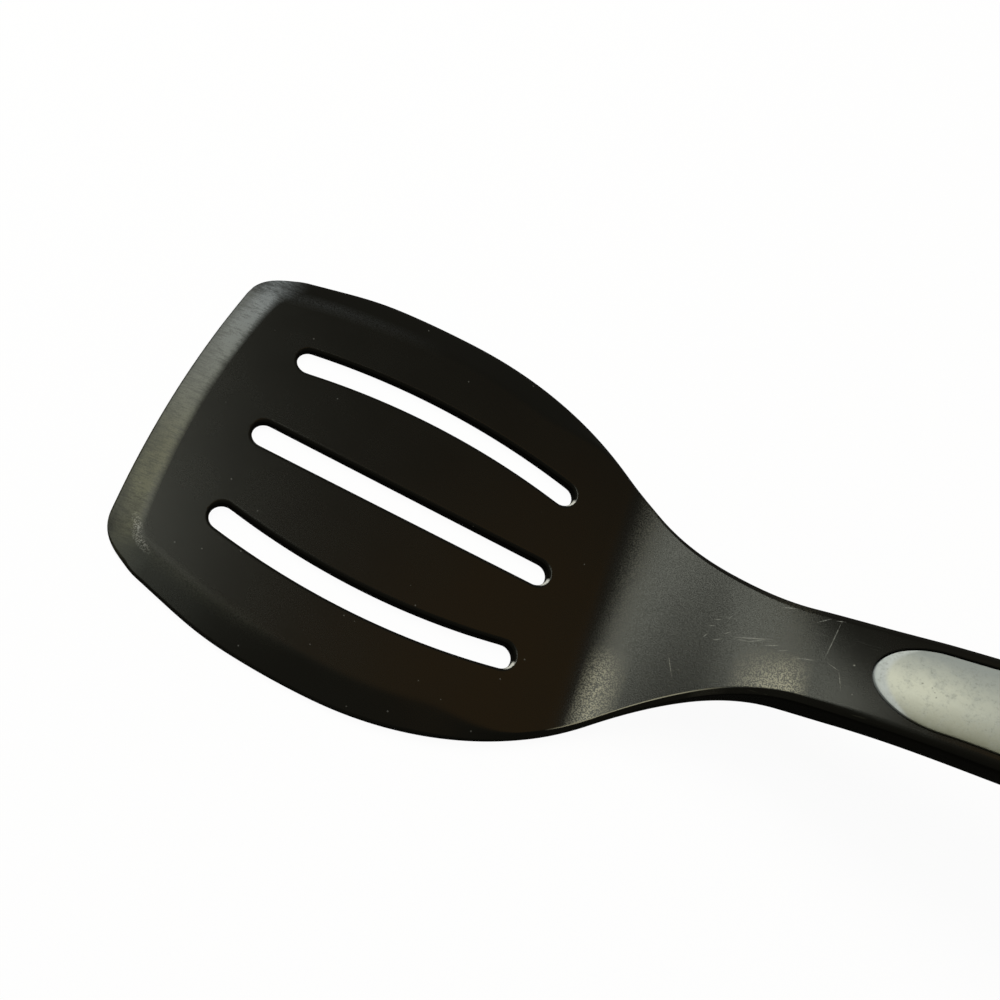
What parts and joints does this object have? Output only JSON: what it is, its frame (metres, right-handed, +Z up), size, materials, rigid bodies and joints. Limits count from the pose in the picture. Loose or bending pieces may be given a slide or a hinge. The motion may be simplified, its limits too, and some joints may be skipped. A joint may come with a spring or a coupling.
{
  "type": "slotted spatula",
  "caption": "Slotted turner: a thin bevelled blade with long drain slots sweeps through a cranked neck into a hollow handle with a soft grip pad on top and a hang hole",
  "frame": {"origin": "on the flat underside of the blade, on the middle line, between the rear ends of the slots and the heel bend", "axes": "+X runs along the tool from the blade to the end of the handle, +Y to the side, +Z up, square to the blade"},
  "size_m": [0.315, 0.0954, 0.0633],
  "materials": {
    "body_nylon": "black heat-resistant nylon, moulded satin, lightly worn with fine scratches and a rubbed front edge",
    "shell_nylon": "black heat-resistant nylon, moulded satin",
    "grip_tpe": "warm grey soft-touch elastomer, matt, slightly mottled"
  },
  "bodies": {
    "root": {"body_moulding": "body_nylon", "handle_back_shell": "shell_nylon", "grip_inlay": "grip_tpe"}
  },
  "joints": []
}
